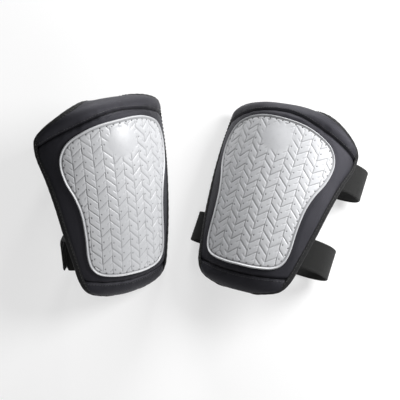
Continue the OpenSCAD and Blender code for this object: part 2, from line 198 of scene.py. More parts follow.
def to_curve(u, v, line):
    """Distance from each point to the nearest point of a line."""
    shape = np.shape(u)
    u, v = np.ravel(u), np.ravel(v)
    best = np.full(u.size, 1e9)
    for p in line:
        best = np.minimum(best, (u - p[0])**2 + (v - p[1])**2)
    return np.sqrt(best).reshape(shape)


# ---- meshes ----

def piece(name, points, faces, finish, body, nodes=(), flat=None, marks=None):
    """One named piece, in place, that moves with a body."""
    mesh = bpy.data.meshes.new(name)
    mesh.from_pydata((np.asarray(points)*MM).tolist(), [], faces)
    if flat is not None:
        mesh.attributes.new("flat", "FLOAT_VECTOR", "POINT").data.foreach_set("vector",
            np.asarray(flat, np.float32).ravel())
    for key, value in (marks or {}).items():
        mesh.attributes.new(key, "FLOAT", "POINT").data.foreach_set("value",
            np.asarray(value, np.float32).ravel())
    mesh.polygons.foreach_set("use_smooth", [True]*len(mesh.polygons))
    mesh.materials.append(finish)
    mesh.update()
    obj = bpy.data.objects.new(name, mesh)
    bpy.context.scene.collection.objects.link(obj)
    if body:
        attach(obj, body)
    if nodes:
        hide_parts(*nodes)
    return obj


def grid_quads(rows, cols, start=0, back=False):
    i, j = np.meshgrid(np.arange(rows - 1), np.arange(cols - 1), indexing="ij")
    a = (start + i*cols + j).ravel()
    q = np.stack([a, a + 1, a + cols + 1, a + cols], -1)
    return q[:, ::-1] if back else q


def slab(outer, inner):
    """Points and faces of the closed solid between two grids."""
    rows, cols = outer.shape[:2]
    n = rows*cols
    rim = np.r_[np.arange(cols), np.arange(1, rows)*cols + cols - 1,
        (rows - 1)*cols + np.arange(cols - 2, -1, -1), np.arange(rows - 2, 0, -1)*cols]
    turned = np.roll(rim, -1)
    sides = np.stack([rim, rim + n, turned + n, turned], -1)
    faces = np.vstack([grid_quads(rows, cols), grid_quads(rows, cols, n, True), sides])
    return np.vstack([outer.reshape(-1, 3), inner.reshape(-1, 3)]), faces.tolist()


def loop_solid(sections, closed=True):
    """Points and faces of the solid through a list of loops of points."""
    n, m = sections.shape[:2]
    i, k = np.meshgrid(np.arange(n if closed else n - 1), np.arange(m), indexing="ij")
    a, b = i*m, ((i + 1) % n)*m
    faces = np.stack([a + k, a + (k + 1) % m, b + (k + 1) % m, b + k], -1).reshape(-1, 4).tolist()
    if not closed:
        faces += [list(range(m))[::-1], list(range((n - 1)*m, n*m))]
    return sections.reshape(-1, 3), faces


def stitches(starts, ends, ups, radius, arch):
    """Points and faces of a row of short threads, each from a start to an end."""
    x = np.array([-1, -0.93, -0.7, -0.3, 0.3, 0.7, 0.93, 1.0])
    size = np.sqrt(np.maximum(1 - x**4, 0.03))
    turns = np.arange(8)*math.pi/4
    mid, half = (starts + ends)/2, (ends - starts)/2
    way = half/np.linalg.norm(half, axis=1, keepdims=True)
    ups = ups - (ups*way).sum(1, keepdims=True)*way
    ups /= np.linalg.norm(ups, axis=1, keepdims=True)
    side = np.cross(way, ups)
    line = (mid[:, None] + half[:, None]*x[None, :, None]
        + ups[:, None]*(arch*(1 - x*x))[None, :, None])
    rings = line[:, :, None] + radius*size[None, :, None, None]*(
        side[:, None, None]*np.cos(turns)[None, None, :, None]
        + ups[:, None, None]*np.sin(turns)[None, None, :, None])
    count, n, m = rings.shape[:3]
    k, i, j = np.meshgrid(np.arange(count), np.arange(n - 1), np.arange(m), indexing="ij")
    a = k*n*m + i*m
    quads = np.stack([a + j, a + (j + 1) % m, a + m + (j + 1) % m, a + m + j], -1).reshape(-1, 4)
    faces = quads.tolist()
    for k in range(count):
        faces += [list(range(k*n*m, k*n*m + m))[::-1],
            list(range((k + 1)*n*m - m, (k + 1)*n*m))]
    return rings.reshape(-1, 3), faces


# ---- finishes ----

class Value:
    """A socket that adds its Math nodes as it is used in sums."""
    def __init__(self, finish, socket):
        self.finish, self.socket = finish, socket

    def sum(self, operation, *others):
        return self.finish.node("ShaderNodeMath", {"operation": operation},
            dict(enumerate([self, *others])))

    def __add__(self, x): return self.sum("ADD", x)
    def __sub__(self, x): return self.sum("SUBTRACT", x)
    def __mul__(self, x): return self.sum("MULTIPLY", x)
    def __rsub__(self, x): return self*-1 + x
    __radd__, __rmul__ = __add__, __mul__
    def sin(self): return self.sum("SINE")
    def abs(self): return self.sum("ABSOLUTE")
    def least(self, x): return self.sum("MINIMUM", x)
    def most(self, x): return self.sum("MAXIMUM", x)
    def above(self, x): return self.sum("GREATER_THAN", x)


class Finish:
    """A material, built from one shader and the nodes asked for."""
    def __init__(self, name, **fixed):
        self.material = bpy.data.materials.new(name)
        self.material.use_nodes = True
        self.tree = self.material.node_tree
        self.shader = next(n for n in self.tree.nodes if n.type == "BSDF_PRINCIPLED")
        for key, value in fixed.items():
            self.shader.inputs[key.replace("_", " ")].default_value = value

    def node(self, kind, settings, sockets, out=0):
        made = self.tree.nodes.new(kind)
        for key, value in settings.items():
            setattr(made, key, value)
        for key, value in sockets.items():
            if isinstance(value, Value):
                self.tree.links.new(value.socket, made.inputs[key])
            else:
                made.inputs[key].default_value = value
        return Value(self, made.outputs[out])

    def mark(self, name, out="Fac"):
        return self.node("ShaderNodeAttribute", {"attribute_name": name}, {}, out)

    def across(self, vector, axis):
        return self.node("ShaderNodeSeparateXYZ", {}, {"Vector": vector}, axis)

    def noise(self, vector, scale, detail=3.0, rough=0.5):
        return self.node("ShaderNodeTexNoise", {}, {"Vector": vector, "Scale": scale,
            "Detail": detail, "Roughness": rough}, "Fac")

    def mix(self, amount, one, other):
        return self.node("ShaderNodeMix", {"data_type": "RGBA"}, {"Factor": amount, 6: one,
            7: other}, 2)

    def bump(self, height, distance, strength=1.0):
        made = self.node("ShaderNodeBump", {}, {"Height": height, "Distance": distance,
            "Strength": strength})
        self.feed("Normal", made)

    def feed(self, socket, value):
        self.tree.links.new(value.socket, self.shader.inputs[socket])


def grey(level, blue=1.0, green=1.0):
    return (level, level*green, level*blue, 1.0)


def hard_plastic():
    """Light grey moulded plastic with random scuffs, and painted shade in its grooves and holes.
    """
    f = Finish("cap plastic", IOR=1.46, Coat_Roughness=0.25, Coat_Weight=0.15)
    flat = f.mark("flat", "Vector")
    groove_and_painted_shade, wear = f.mark("groove_and_painted_shade"), f.noise(flat, 0.035, 5.0)
    grain = f.noise(flat, 1.6, 3.0)
    scuff = (f.noise(flat, 0.16, 6.0, 0.7) - 0.52).most(0)*3
    clean = f.mix(wear, grey(0.44, 1.045, 1.012), grey(0.53, 1.04, 1.010))
    # Painted shade: the grooves, rim channel and needle holes darkened by their mark, mixed with
    # random real scuffs
    f.feed("Base Color", f.mix((groove_and_painted_shade*0.8 + scuff*0.18).least(1.0), clean,
        grey(0.085, 1.06, 1.01)))
    f.feed("Roughness", 0.33 + wear*0.12 + groove_and_painted_shade*0.25 + scuff*0.1)
    f.bump(grain*0.5 + f.noise(flat, 0.4, 2.0)*0.5, 0.00012, 0.6)
    return f.material


def cover_cloth():
    """Satin black nylon, woven fine."""
    f = Finish("satin nylon", IOR=1.5, Specular_IOR_Level=0.3, Sheen_Weight=0.05,
        Sheen_Roughness=0.4, Sheen_Tint=(0.7, 0.7, 0.85, 1), Specular_Tint=(0.9, 0.88, 1, 1))
    flat = f.mark("flat", "Vector")
    x, y = f.across(flat, 0), f.across(flat, 1)
    weave = (x*5.2).sin()*(y*5.2).sin()
    slub = f.noise(flat, 0.9, 4.0)
    cloud = f.noise(flat, 0.05, 4.0)
    tone = f.mix(cloud*0.7 + weave*0.12 + 0.15, grey(0.0085, 1.22), grey(0.0155, 1.25))
    # Painted shade: the cloth darker along its seams and beside the cap's rim, from the mesh's
    # mark
    f.feed("Base Color", f.mix(f.mark("groove_and_painted_shade")*0.8, tone, grey(0.006)))
    f.feed("Roughness", 0.42 + slub*0.14 + cloud*0.06)
    f.bump(weave*0.5 + slub*0.7, 0.00016, 0.7)
    return f.material


def lining_cloth():
    """Matte black knitted mesh with small open cells."""
    f = Finish("knitted mesh", IOR=1.45, Sheen_Weight=0.05, Sheen_Roughness=0.6)
    flat = f.mark("flat", "Vector")
    cells = f.node("ShaderNodeTexVoronoi", {"feature": "DISTANCE_TO_EDGE"}, {"Vector": flat,
        "Scale": 0.42, "Randomness": 0.18}, "Distance")
    hole = (1 - cells*2.6).most(0)
    fuzz = f.noise(flat, 1.3, 4.0)
    tone = f.mix(fuzz, grey(0.026, 1.05), grey(0.042, 1.05))
    f.feed("Base Color", f.mix(hole, grey(0.009), tone))
    f.feed("Roughness", 0.75 + fuzz*0.18)
    f.bump(hole*0.8 + fuzz*0.3, 0.0005, 0.8)
    return f.material


def tape_cloth(name, low, high, rib, rough, blue=1.0, green=1.0):
    """Woven tape: ribs across it, each crossed by its lengthwise yarns."""
    f = Finish(name, IOR=1.45, Specular_IOR_Level=0.3, Sheen_Weight=0.04,
        Sheen_Roughness=0.5)
    flat = f.mark("flat", "Vector")
    x, y = f.across(flat, 0), f.across(flat, 1)
    ribs = (x*(6.283/rib)).sin().abs()
    yarns = (y*(6.283/(rib*0.8)) + (x*(6.283/rib)).sin().above(0)*3.14).sin()
    worn = f.noise(flat, 0.08, 5.0)
    fibre = f.noise(flat, 2.2, 3.0)
    f.feed("Base Color", f.mix(ribs*0.35 + worn*0.4 + fibre*0.2, grey(low, blue, green),
        grey(high, blue, green)))
    f.feed("Roughness", rough + fibre*0.12)
    f.bump(ribs*0.8 + yarns*0.35 + fibre*0.5, 0.00022, 0.75)
    return f.material


def pile_tape(name, low, high, scale):
    """Hook tape or napped loop tape."""
    f = Finish(name, IOR=1.45, Sheen_Weight=0.12, Sheen_Roughness=0.5)
    flat = f.mark("flat", "Vector")
    tuft, fuzz = f.noise(flat, scale, 2.0), f.noise(flat, scale*2.7, 4.0, 0.7)
    f.feed("Base Color", f.mix(tuft*0.7 + fuzz*0.3, grey(low), grey(high, 1.05)))
    f.feed("Roughness", 0.72 + fuzz*0.2)
    f.bump(tuft + fuzz*0.7, 0.0006, 0.9)
    return f.material


def thread_finish(name, low, high):
    """Twisted polyester thread."""
    f = Finish(name, IOR=1.5, Sheen_Weight=0.2)
    flat = f.node("ShaderNodeTexCoord", {}, {}, "Object")
    x, y = f.across(flat, 0), f.across(flat, 1)
    twist = ((x + y)*9000.0).sin()
    lint = f.noise(flat, 900.0, 2.0)
    f.feed("Base Color", f.mix(twist*0.3 + lint*0.6, grey(low), grey(high, 1.03)))
    f.feed("Roughness", 0.45 + lint*0.2)
    f.bump(twist*0.5 + lint*0.3, 0.0001, 0.7)
    return f.material


def soft_core(name, low, high, scale, rough):
    """Closed-cell foam or gel inside the pad."""
    f = Finish(name, IOR=1.45)
    where = f.node("ShaderNodeTexCoord", {}, {}, "Object")
    cells = f.node("ShaderNodeTexVoronoi", {}, {"Vector": where, "Scale": scale}, "Distance")
    f.feed("Base Color", f.mix(cells, low, high))
    f.feed("Roughness", rough + cells*0.15)
    f.bump(cells, 0.0004, 0.6)
    return f.material


def floor_finish():
    """Pale, evenly lit studio floor."""
    f = Finish("pale floor", IOR=1.4, Specular_IOR_Level=0.2, Emission_Strength=0.98,
        Emission_Color=grey(0.58))
    where = f.node("ShaderNodeTexCoord", {}, {}, "Object")
    tone = f.noise(where, 3.0, 3.0)
    f.feed("Base Color", f.mix(tone, grey(0.40, 1.0), grey(0.41, 1.002)))
    f.feed("Roughness", 0.85 + tone*0.08)
    return f.material


PLASTIC, NYLON, KNIT = hard_plastic(), cover_cloth(), lining_cloth()
BINDING = tape_cloth("binding tape", 0.0045, 0.009, 1.5, 0.62, 1.1)
WEBBING = tape_cloth("elastic webbing", 0.0065, 0.0125, 1.9, 0.72, 0.98, 1.01)
HOOKS, LOOPS = pile_tape("hook tape", 0.008, 0.022, 0.9), pile_tape("loop tape", 0.02, 0.06, 0.6)
THREAD = thread_finish("black thread", 0.008, 0.024)
CAP_THREAD = thread_finish("grey thread", 0.05, 0.12)
FOAM = soft_core("closed-cell foam", grey(0.06), grey(0.12), 900.0, 0.8)
GEL = soft_core("soft gel", (0.03, 0.09, 0.16, 1), (0.05, 0.16, 0.26, 1), 120.0, 0.25)

# ---- the hard cap, in millimetres ----

# Tread: the grooves fall across one column, step down its edge, rise across the next, step down
COLUMN, PITCH, FALL, RISE = 11.9, 17.0, 0.94, 0.78
STEP = (7.9, PITCH - 7.9 - COLUMN*(FALL - RISE))
GROOVE_W, GROOVE_D, JOIN_W = 0.85, 0.72, 0.8
PIN_AT, PIN_R = (2.7, -8.4), 1.05
TREAD_START = {"right": (-6.2, -1.3), "left": (-2.2, 6.6)}
BOSS_MIDDLE, BOSS_HALF, BOSS_RISE = (0, 46), (18, 16.5), 0.7
RIM_STEPS = [7, 6.5, 6, 5.5, 5, 4.6, 4.2, 3.8, 3.4, 3.05, 2.7, 2.35, 2, 1.65, 1.3, 1, 0.7, 0.45,
    0.22, 0.06]
INNER_RINGS = 112
UNDER_RINGS = (1.0, 0.96, 0.8, 0.6, 0.4, 0.2)
FIELD_IN = 7
CAP_STITCHES = 64
STITCH_IN = 4.6
BEAD_AT, CHANNEL_AT, CHANNEL_W, CHANNEL_D = 1.35, 3.5, 0.75, 0.55
NEEDLE_R, NEEDLE_D = 1.3, 0.6

cap_line, _ = even(curve(CAP_EDGE, True, 24), 1200, closed=True)
cap_way = np.roll(cap_line, -1, 0) - np.roll(cap_line, 1, 0)
cap_way /= np.linalg.norm(cap_way, axis=1, keepdims=True)
cap_inward = np.stack([cap_way[:, 1], -cap_way[:, 0]], -1)
cap_stitch_line = even(cap_line + cap_inward*STITCH_IN, 2*CAP_STITCHES, True)[0][::2]


def wrap(x, period):
    return (x + period/2) % period - period/2


def tread(side, u, v):
    """(depth, mark) of the tread: grooves that zigzag across the cap in columns, the columns'
    edges, and one pin hole in each lug."""
    x = (u - TREAD_START[side][0]) % (2*COLUMN)
    v = v - TREAD_START[side][1]
    falls, inner = x < COLUMN, x % COLUMN
    low = -FALL*COLUMN
    run = lambda at: np.where(falls, -FALL*at, low - STEP[0] + RISE*at)
    slope = np.where(falls, FALL, RISE)
    off = abs(wrap(v - run(inner), PITCH))/np.sqrt(1 + slope**2)
    middle_edge, outer_edge = abs(x - COLUMN), np.minimum(x, 2*COLUMN - x)
    for edge, top, step in ((middle_edge, low, STEP[0]),
            (outer_edge, low - STEP[0] + RISE*COLUMN, STEP[1])):
        past = np.maximum(abs(wrap(v - top + step/2, PITCH)) - step/2, 0)
        off = np.minimum(off, np.hypot(past, edge))
    join = ease((JOIN_W - np.minimum(middle_edge, outer_edge))/0.6)
    groove_and_painted_shade = np.maximum(ease((GROOVE_W - off)/0.75), 0.5*join)
    # A short nick into each lug, half way between two grooves
    nick = abs(wrap(v - run(inner) + PITCH/2, PITCH))/np.sqrt(1 + slope**2)
    nick = np.hypot(nick, np.maximum(COLUMN - 4.0 - inner, 0))
    groove_and_painted_shade = np.maximum(groove_and_painted_shade, 0.6*ease((0.8 - nick)/0.6))
    pin = np.hypot(inner - PIN_AT[0], wrap(v - run(PIN_AT[0]) - PIN_AT[1], PITCH))
    hole = ease((PIN_R - pin)/0.6)
    crown = 0.12*ease((off - GROOVE_W)/3)
    # The second value is painted shade: darker colour down in the grooves and the pin holes
    return crown - GROOVE_D*groove_and_painted_shade - 0.7*hole, np.maximum(0.6*groove_and_painted_shade**2, hole)


def cap(side):
    """The hard cap: treaded front, and a plain underside a small gap above the cover."""
    # Square rings of a grid, laid over the cap's outline one inside the other
    n = INNER_RINGS + len(RIM_STEPS) - 1
    i, j = np.meshgrid(np.arange(-n, n + 1), np.arange(-n, n + 1), indexing="xy")
    k = np.maximum(abs(i), abs(j))
    walk = np.where((j == k) & (i >= 0), i, np.where(i == k, 2*k - j,
        np.where(j == -k, 4*k - i, np.where(i == -k, 6*k + j, 8*k + i))))
    t = walk/np.maximum(8*k, 1)*len(cap_line)
    at = np.arange(len(cap_line) + 1)
    pick = lambda a: np.stack([np.interp(t % len(cap_line), at, np.r_[a[:, m], a[0, m]])
        for m in (0, 1)], -1)
    d = np.interp(k, np.r_[0, INNER_RINGS + np.arange(len(RIM_STEPS))], [FIELD_IN] + RIM_STEPS)
    share = np.minimum(k/INNER_RINGS, 1)[..., None]
    line = pick(cap_line) + pick(cap_inward)*d[..., None]
    u, v = np.moveaxis(CAP_MIDDLE + (line - CAP_MIDDLE)*share, -1, 0)
    d = np.where(k < INNER_RINGS, FIELD_IN + (1 - share[..., 0])*40, d)
    # Height over the cover: rounded edge, bead, sunk channel, then the treaded field
    bead = np.cos(np.clip((d - BEAD_AT)/BEAD_AT, -1, 1)*math.pi/2)**2
    edge = CAP_T*np.sqrt(np.clip(1 - (1 - np.minimum(d, 1.1)/1.1)**2, 0, 1))
    channel = np.exp(-((d - CHANNEL_AT)/CHANNEL_W)**2)
    middle = np.hypot((u - BOSS_MIDDLE[0])/BOSS_HALF[0], (v - BOSS_MIDDLE[1])/BOSS_HALF[1])
    depth, mark = tread(side, u, v)
    show = ease((middle - 0.9)/0.45)*ease((d - 5.3)/1.2)
    boss = BOSS_RISE*np.maximum(1 - (middle/1.15)**2, 0)**1.5
    pricks = ease((NEEDLE_R - to_curve(u, v, cap_stitch_line))/0.8)
    height = (CAP_GAP + edge + bead - CHANNEL_D*channel + depth*show + boss
        - NEEDLE_D*pricks)
    outer = skin(u, v, height).reshape(-1, 3)
    # Painted shade: darker colour in the tread, the sunk rim channel and the needle holes
    groove_and_painted_shade = np.maximum(np.maximum(mark*show, 0.75*channel), pricks).ravel()
    faces = grid_quads(2*n + 1, 2*n + 1).tolist()
    # Underside: rings that start from the cap's outline
    rim = np.argwhere((k == n).ravel())[:, 0]
    rim = rim[np.argsort(walk.ravel()[rim])]
    rings = [rim]
    points, flat = [outer], np.stack([u.ravel(), v.ravel(), 0*u.ravel()], -1)
    marks, count = [groove_and_painted_shade], len(outer)
    for s in UNDER_RINGS:
        under = CAP_MIDDLE + (flat[rim, :2] - CAP_MIDDLE)*s
        points.append(skin(under[:, 0], under[:, 1], CAP_GAP))
        rings.append(count + np.arange(len(rim)))
        marks.append(np.zeros(len(rim)))
        count += len(rim)
    for a, b in zip(rings, rings[1:]):
        faces += np.stack([a, b, np.roll(b, -1), np.roll(a, -1)], -1)[:, ::-1].tolist()
    points.append(skin(*CAP_MIDDLE, CAP_GAP)[None])
    last = rings[-1]
    faces += np.stack([last, np.full(len(last), count), np.roll(last, -1)], -1)[:, ::-1].tolist()
    marks = np.r_[np.concatenate(marks), 0]
    points = np.vstack(points)
    whole = np.vstack([flat, points[len(flat):]])
    piece(f"{side}_hard_cap", place(side, points), faces, PLASTIC, f"{side}_pad",
        [f"{side}_cap"], whole, {"groove_and_painted_shade": marks})


def cap_threads(side):
    """The thread that sews the cap down, a short stitch at each needle hole."""
    line = cap_stitch_line
    way = np.roll(line, -1, 0) - np.roll(line, 1, 0)
    way /= np.linalg.norm(way, axis=1, keepdims=True)
    top = CAP_GAP + CAP_T - 0.42
    starts, ends = (skin(*(line + way*x).T, top) for x in (-0.95, 0.95))
    up = skin(*line.T, top + 1) - skin(*line.T, top)
    points, faces = stitches(starts, ends, up, 0.42, 0.12)
    piece(f"{side}_cap_threads", place(side, points), faces, CAP_THREAD, f"{side}_pad",
        [f"{side}_cap_stitching"])


# ---- the fabric body, in millimetres ----

RIPPLES = {"right": 1.3, "left": 2.9}
COVER_T, SEAM_GAP = 0.8, 0.35
GEL_SEAM, QUILT_LINES, LINING_W = 5, (46, -72), 211


def cover_height(side, a, u, v):
    """How far the covers stand out of the skin: pulled in at the seams and the binding."""
    seed = RIPPLES[side]
    top, low = v - seam_at(TOP_SEAM, a), v - seam_at(BOTTOM_SEAM, a)
    near = np.exp(-(top/2.2)**2) + np.exp(-(low/2.2)**2)
    wide = np.exp(-(top/8)**2) + np.exp(-(low/8)**2)
    bolster = np.where(top > 0, 1.5*np.sin(np.clip(top/34, 0, 1)*math.pi), 0)
    bolster = np.where(low < 0, 1.6*np.sin(np.clip(-low/30, 0, 1)*math.pi), bolster)
    out = 0.8 + bolster - 1.7*near - 0.9*wide
    out += 0.35*ripple(u, v, 38, seed)
    out += (0.42*ripple(u, v*0.25, 9, seed + 1) + 0.16*ripple(u, v, 6, seed + 2))*wide
    rim = (1 - abs(a))*half_width(v)
    return out - 1.3*np.exp(-(rim/4.5)**2)


def by_the_cap(u, v):
    """0 where the cap's rim presses the cover, rising to 1 outside it; 0 behind the cap."""
    d = to_curve(u, v, cap_line[::5])
    inside = inside_cap(u, v)
    # The second value is the strength of painted shade beside the rim, outside the cap
    return np.where(inside, 0, ease(d/7)), np.where(inside, 0, np.exp(-(d/1.8)**2))


def inside_cap(u, v):
    line = cap_line[::5]
    hit = np.zeros(np.shape(u), bool)
    for (x0, y0), (x1, y1) in zip(line, np.roll(line, -1, 0)):
        if y0 == y1:
            continue
        hit ^= ((y0 > v) != (y1 > v)) & (u < x0 + (v - y0)*(x1 - x0)/(y1 - y0))
    return hit


def spread(low, high, rows, cols, inset=0.0):
    """Grid of (a, u, v) between two seam lines, closer together towards the seams."""
    a = np.sin(np.linspace(-1, 1, cols)*math.pi/2*0.86)/math.sin(math.pi/2*0.86)
    s = np.linspace(0, 1, rows)
    s = s + 0.45*np.sin(2*math.pi*s)/(2*math.pi)*-1
    a, s = np.meshgrid(a, s)
    v = low(a) + (high(a) - low(a))*s
    return a, a*(half_width(v) - inset), v


BETWEEN = {
    "front": (lambda a: seam_at(BOTTOM_SEAM, a) + SEAM_GAP,
        lambda a: seam_at(TOP_SEAM, a) - SEAM_GAP, 150, 150),
    "top": (lambda a: seam_at(TOP_SEAM, a) + SEAM_GAP, lambda a: a*0 + SKIN_TOP, 54, 150),
    "bottom": (lambda a: a*0 + SKIN_BOTTOM, lambda a: seam_at(BOTTOM_SEAM, a) - SEAM_GAP,
        44, 120)}


def cover(side, part):
    """One fabric panel: tucked in at its seams, and pressed down round the cap's rim."""
    low, high, rows, cols = BETWEEN[part]
    a, u, v = spread(low, high, rows, cols)
    out = cover_height(side, a, u, v)
    pressed = np.zeros(a.shape)
    if part == "front":
        free, pressed = by_the_cap(u, v)
        out = np.minimum(out, 0.15 + (out - 0.15)*free)
    seam = np.minimum(abs(v - seam_at(TOP_SEAM, a)), abs(v - seam_at(BOTTOM_SEAM, a)))
    points, faces = slab(skin(u, v, out), skin(u, v, out - COVER_T))
    flat = np.stack([u, v, 0*u], -1).reshape(-1, 3)
    # Painted shade: darker along the seams and beside the cap's rim
    groove_and_painted_shade = np.maximum(np.exp(-(seam/1.1)**2), 0.6*pressed).ravel()
    made = piece(f"{side}_{part}_cloth", place(side, points), faces, NYLON, f"{side}_pad",
        [f"{side}_{part}_cover"], np.vstack([flat, flat]),
        {"groove_and_painted_shade": np.r_[groove_and_painted_shade, groove_and_painted_shade]})
    width, length = 2*half_width(v).max(), float((v.max(0) - v.min(0)).max())
    area = float((2*half_width(v).mean(1)*np.gradient(v.mean(1))).sum())
    width*MM
    length*MM


def foam(side, part, node):
    """The foam under one cover, down to the pad's back."""
    low, high, rows, cols = BETWEEN[part]
    a, u, v = spread(lambda a: low(a) + 0.4, lambda a: high(a) - 0.4, rows//3, cols//3, 1.2)
    out = cover_height(side, a, u, v)
    if part == "front":
        out = np.minimum(out, 0.15 + (out - 0.15)*by_the_cap(u, v)[0])
    points, faces = slab(skin(u, v, out - 1.25), skin(u, v, 1.9 - thick(a, v)))
    made = piece(f"{side}_{part}_foam", place(side, points), faces, FOAM, f"{side}_pad",
        [f"{side}_{node}"])
    return made


def lining(side):
    """The knitted back, quilted round the gel insert and across the pad."""
    a, u, v = spread(lambda a: a*0 + SKIN_BOTTOM, lambda a: a*0 + SKIN_TOP, 170, 130)
    gel = ((abs(u - GEL_MIDDLE[0])/(GEL_HALF[0] + GEL_SEAM))**4
        + (abs(v - GEL_MIDDLE[1])/(GEL_HALF[1] + GEL_SEAM))**4)**0.25
    quilt = np.exp(-((gel - 1)*38/1.6)**2)
    for line in QUILT_LINES:
        arc = v - line - 6*(1 - a*a)*(1 if line > 0 else -1)
        quilt = np.maximum(quilt, np.exp(-(arc/1.5)**2)*ease((0.9 - abs(a))/0.05))
    rim = (1 - abs(a))*half_width(v)
    puff = 1.1*ease((1 - gel)/0.25) + 0.3*ripple(u, v, 30, 5.0) - 1.5*quilt
    puff = np.minimum(puff, 1.1)*ease(rim/6)
    deep = -thick(a, v) - puff
    points, faces = slab(skin(u, v, deep + 0.9), skin(u, v, deep))
    flat = np.stack([u, v, 0*u], -1).reshape(-1, 3)
    made = piece(f"{side}_lining", place(side, points), faces, KNIT, f"{side}_pad",
        [f"{side}_back_lining"], np.vstack([flat, flat]))
    area = float((2*half_width(v[:, 0])*np.gradient(v[:, 0])).sum())


def pad_outline(step):
    """The pad's outline on the skin, evenly spaced, with its outward directions."""
    v = np.linspace(SKIN_BOTTOM, SKIN_TOP, 240)
    right = np.stack([half_width(v), v], -1)
    loop, length = even(np.vstack([right, (right*(-1, 1))[::-1]]), 900, closed=True)
    for _ in range(10):
        loop = loop*0.5 + (np.roll(loop, 1, 0) + np.roll(loop, -1, 0))*0.25
    loop, _ = even(loop, int(length/step), closed=True)
    way = np.roll(loop, -1, 0) - np.roll(loop, 1, 0)
    way /= np.linalg.norm(way, axis=1, keepdims=True)
    return loop, np.stack([way[:, 1], -way[:, 0]], -1)


# Cross-section of the binding tape: (out past the pad's edge, up from the skin)
TAPE = [(-4.2, 0.75), (-2.6, 1.15), (-0.6, 1.25), (1.0, 0.75), (2.1, -0.6), (2.55, -2.6),
    (2.6, -4.6), (2.55, -6.6), (2.1, -8.6), (1.0, -9.9), (-0.6, -10.45), (-2.6, -10.4),
    (-4.2, -10.0), (-4.2, -9.3), (-1.2, -9.6), (0.6, -8.8), (1.3, -6.8), (1.4, -4.6),
    (1.3, -2.4), (0.6, -0.5), (-1.2, 0.3), (-4.2, 0.1)]
TAPE_STEP, TAPE_STITCH = 1.4, 2.15


def binding(side):
    """Tape folded round the pad's edge, with a row of stitches along each of its borders."""
    loop, out = pad_outline(TAPE_STEP)
    section = curve(TAPE, True, 2)
    wave = 0.12*np.sin(np.arange(len(loop))*2*math.pi/7)
    u = loop[:, 0, None] + out[:, 0, None]*section[None, :, 0]
    v = loop[:, 1, None] + out[:, 1, None]*section[None, :, 0]
    n = section[None, :, 1] + wave[:, None]
    points, faces = loop_solid(skin(u, v, n)[:, ::-1])
    round_it = np.r_[0, np.cumsum(np.linalg.norm(np.diff(section, axis=0), axis=1))][::-1]
    along = np.arange(len(loop))[:, None]*TAPE_STEP
    flat = np.stack(np.broadcast_arrays(along, round_it[None], 0.0), -1)
    piece(f"{side}_bound_edge", place(side, points), faces, BINDING, f"{side}_pad",
        [f"{side}_edge_binding"], flat.reshape(-1, 3))
    loop, out = pad_outline(TAPE_STITCH)
    line = loop - out*2.9
    p, q = line[::2], np.roll(line, -1, 0)[::2]
    rows = ((1.3, 1), (-10.5, -1))
    starts = np.vstack([skin(*p.T, deep) for deep, up in rows])
    ends = np.vstack([skin(*(p + (q - p)*1.25).T, deep) for deep, up in rows])
    ups = np.vstack([(skin(*p.T, 1) - skin(*p.T, 0))*up for deep, up in rows])
    points, faces = stitches(starts, ends, ups, 0.3, 0.1)
    piece(f"{side}_binding_threads", place(side, points), faces, THREAD, f"{side}_pad", ())


def seam_threads(side):
    """A row of topstitches beside each seam, on the bolster."""
    starts, ends, ups = [], [], []
    for seam, off in ((TOP_SEAM, 3.4), (BOTTOM_SEAM, -3.2)):
        a = np.linspace(-0.96, 0.96, 600)
        v = seam_at(seam, a) + off
        line, length = even(np.stack([a*half_width(v), v], -1), 600)
        line = even(line, 3*int(length/3.6))[0]
        for k, keep in ((0, starts), (2, ends)):
            p = line[k::3]
            a = p[:, 0]/half_width(p[:, 1])
            keep.append(skin(*p.T, cover_height(side, a, *p.T) + 0.12))
        ups.append(skin(*line[::3].T, 1) - skin(*line[::3].T, 0))
    points, faces = stitches(np.vstack(starts), np.vstack(ends), np.vstack(ups), 0.34, 0.15)
    piece(f"{side}_seam_threads", place(side, points), faces, THREAD, f"{side}_pad",
        [f"{side}_seam_stitching"])


# ---- straps, tabs and fasteners, in millimetres in the frame before the pad's roll ----

WEB_STEP, TIP_CORNER = 1.3, 8
PATCH_START, PATCH_LEN, PATCH_W, PATCH_CORNER = 4, FLAP_LEN - 13, STRAP_W - 2.4, 2.5
TACK_BOX, TACK_STEP = [(1.2, -14), (1.2, 14), (9, 14), (9, -14)], 3.1


def strap_line(side, which, kind):
    """Middle line of a strap or tab, about 1.3 mm apart, on past the hinge for a strap."""
    route = ROUTES[f"{side}_{which}_{kind}"]
    low = min(p[1] for p in route)
    line = curve(route, False, 16)
    line[:, 1] = np.maximum(line[:, 1], low)
    length = even(line, 2)[1]
    line = even(line, int(length/WEB_STEP))[0]
    if kind == "strap":
        way = math.radians(END_WAY[side][0])
        tip = np.array(route[-1]) + np.outer(np.linspace(0, FLAP_LEN, 28)[1:],
            (math.cos(way), math.sin(way)))
        line = np.vstack([line, tip])
        for _ in range(3):
            line[1:-1] = line[1:-1]*0.5 + (line[2:] + line[:-2])*0.25
    far = np.r_[0, np.cumsum(np.linalg.norm(np.diff(line, axis=0), axis=1))]
    # Closer together at the tip, where the corners are rounded
    at = far[-1] - np.r_[0, 0.25, 0.6, 1.1, 1.8, 2.7, 3.8, 5.1, 6.5, 8]
    at = np.r_[far[far < far[-1] - 8.6], at[::-1]]
    return np.stack([np.interp(at, far, line[:, k]) for k in (0, 1)], -1), at


